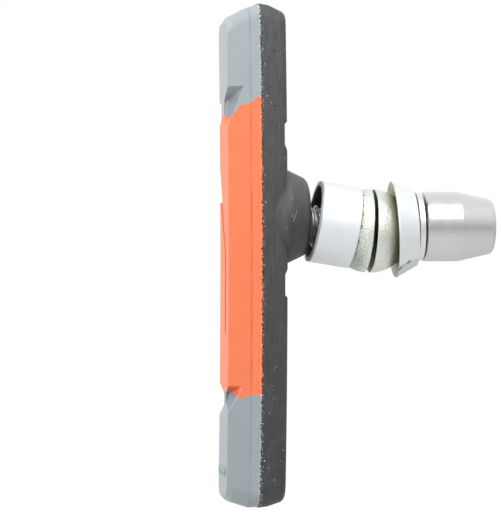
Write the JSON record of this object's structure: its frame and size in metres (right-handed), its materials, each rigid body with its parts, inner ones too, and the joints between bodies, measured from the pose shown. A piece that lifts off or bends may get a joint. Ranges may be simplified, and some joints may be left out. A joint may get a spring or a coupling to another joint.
{
  "type": "bicycle rim brake pad",
  "caption": "Curved rim brake pad in grey and orange friction compound on a black base, with a threaded stud, swivelling domed and cup washers and a tapered cap nut.",
  "frame": {"origin": "on the stud's axis, midway between the two domed washers, where the brake arm is clamped", "axes": "+X along the stud from the pad to the nut, +Z along the pad's length, +Y towards the wheel's hub"},
  "size_m": [0.0391, 0.0148, 0.072],
  "materials": {
    "grey_rubber": "matte moulded",
    "orange_rubber": "matte moulded",
    "black_base": "matte moulded",
    "plain_steel": "plain",
    "bright_plate": "bright plated steel",
    "yellow_zinc": "yellow zinc plated, slightly rough",
    "turned_aluminium": "bright turned"
  },
  "bodies": {
    "arm_washers": {"inner_dome_washer": "yellow_zinc", "outer_dome_washer": "yellow_zinc"},
    "inner_washer": {"inner_cup_washer": "bright_plate"},
    "pad": {"upper_compound": "grey_rubber", "centre_compound": "orange_rubber", "lower_compound": "grey_rubber", "base": "black_base", "backing_plate": "plain_steel", "threaded_stud": "plain_steel"},
    "outer_washers": {"outer_cup_washer": "bright_plate", "flat_washer": "bright_plate"},
    "nut": {"cap_nut": "turned_aluminium"}
  },
  "joints": [
    {"name": "toe_in", "type": "hinge", "parent": "arm_washers", "child": "inner_washer", "pos_m": [0, 0, -0.0006], "axis": [0, 1, 0], "range_deg": [-5, 5]},
    {"name": "pad_turn", "type": "hinge", "parent": "inner_washer", "child": "pad", "pos_m": [0, 0, 0], "axis": [1, 0, 0], "continuous": true},
    {"name": "nut_travel", "type": "slide", "parent": "inner_washer", "child": "outer_washers", "axis": [1, 0, 0], "range_m": [0, 0.006]},
    {"name": "nut_turn", "type": "hinge", "parent": "outer_washers", "child": "nut", "pos_m": [0, 0, 0], "axis": [1, 0, 0], "range_deg": [0, 2161]}
  ],
  "couplings": [
    {"joint": "nut_turn", "follows": "nut_travel", "rad_per_m": 6283.2}
  ]
}
